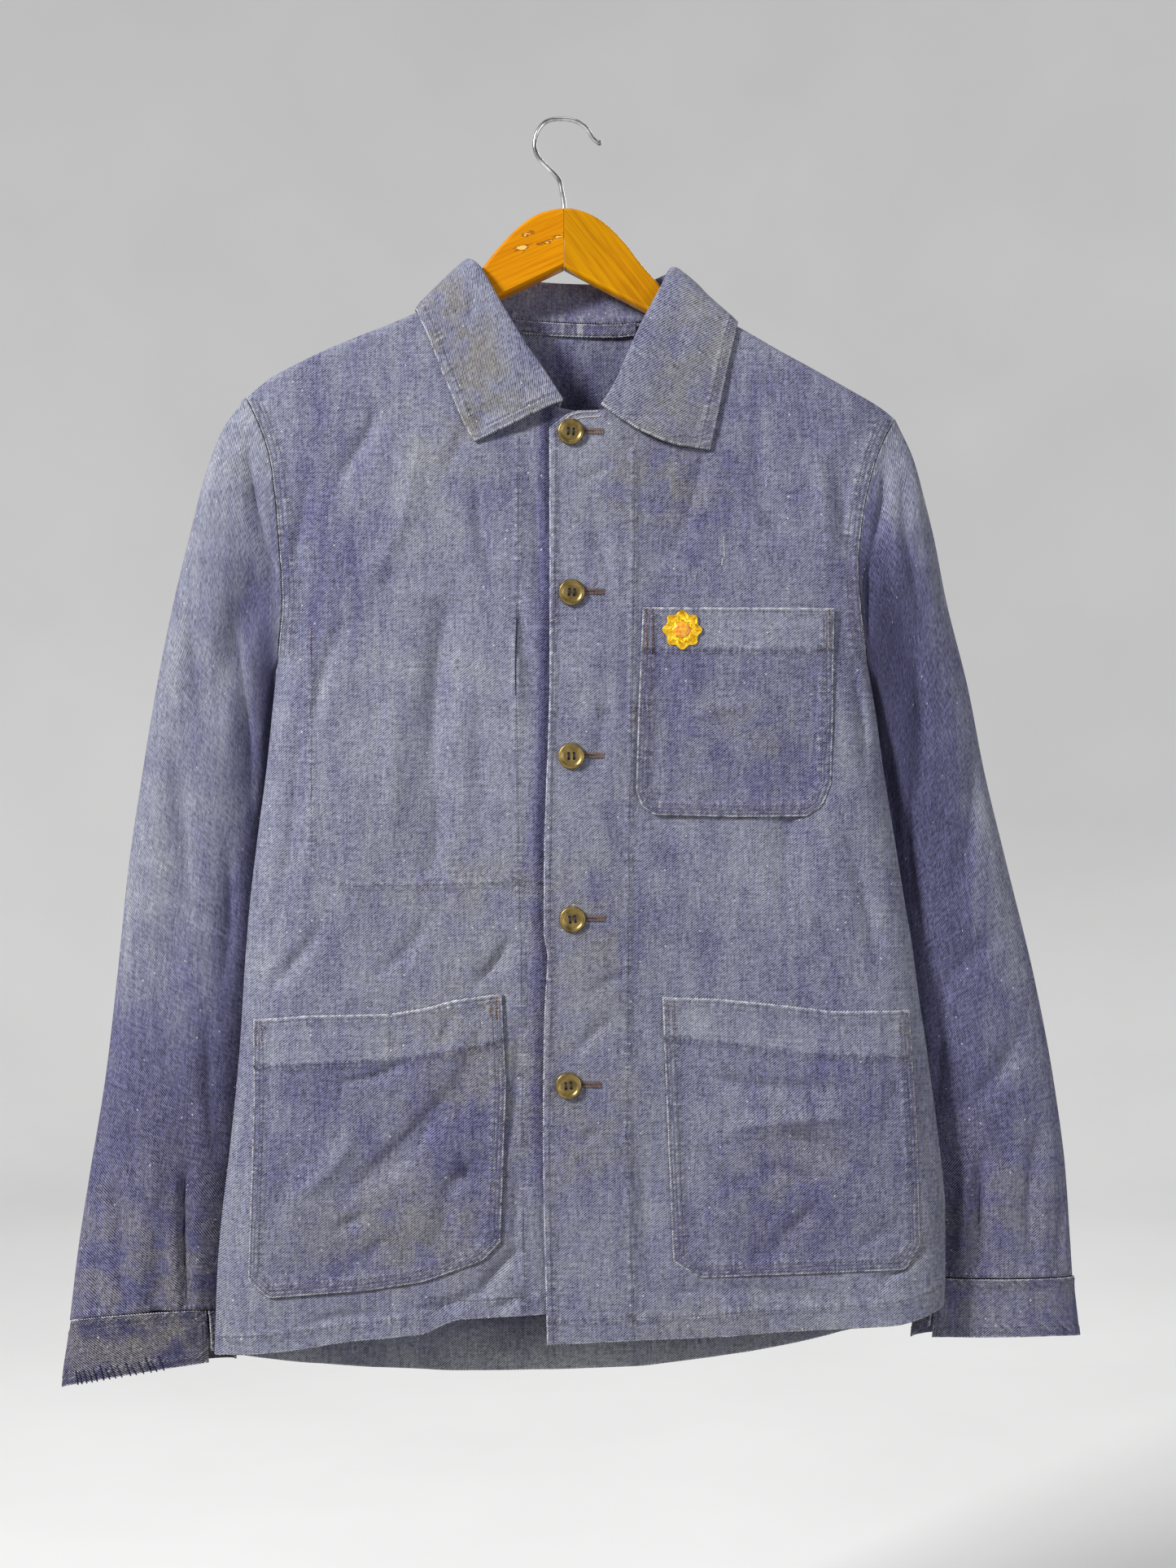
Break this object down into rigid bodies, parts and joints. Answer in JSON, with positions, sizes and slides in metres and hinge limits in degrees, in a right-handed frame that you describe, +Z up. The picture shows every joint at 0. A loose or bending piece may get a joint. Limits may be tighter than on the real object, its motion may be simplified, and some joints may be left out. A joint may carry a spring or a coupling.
{
  "type": "chore jacket on a hanger",
  "caption": "Faded blue twill chore jacket with patch pockets, turned-down collar and buttoned front, hanging on a flat wooden hanger with a wire hook",
  "frame": {"origin": "inside top of the hook's arc, where it hangs on a rail or peg", "axes": "+Z up, +X to the viewer's right seen from the front, -Y towards the viewer"},
  "size_m": [0.709, 0.0754, 0.8805],
  "materials": {
    "cloth": "faded cotton twill",
    "button": "olive brown, worn",
    "gilt": "gilt with a red centre",
    "wood": "varnished, flaked",
    "wire": "plated"
  },
  "bodies": {
    "root": {"back_panel": "cloth", "front_right": "cloth", "front_left": "cloth", "sleeve_right": "cloth", "sleeve_left": "cloth", "cuff_right": "cloth", "cuff_left": "cloth", "collar": "cloth", "neck_binding": "cloth", "lower_pocket_right": "cloth", "lower_pocket_left": "cloth", "chest_pocket": "cloth", "inner_pocket": "cloth", "button_1": "button", "button_2": "button", "button_3": "button", "button_4": "button", "button_5": "button", "pin_badge": "gilt", "hanger_right": "wood", "hanger_left": "wood", "hook": "wire"}
  },
  "joints": []
}
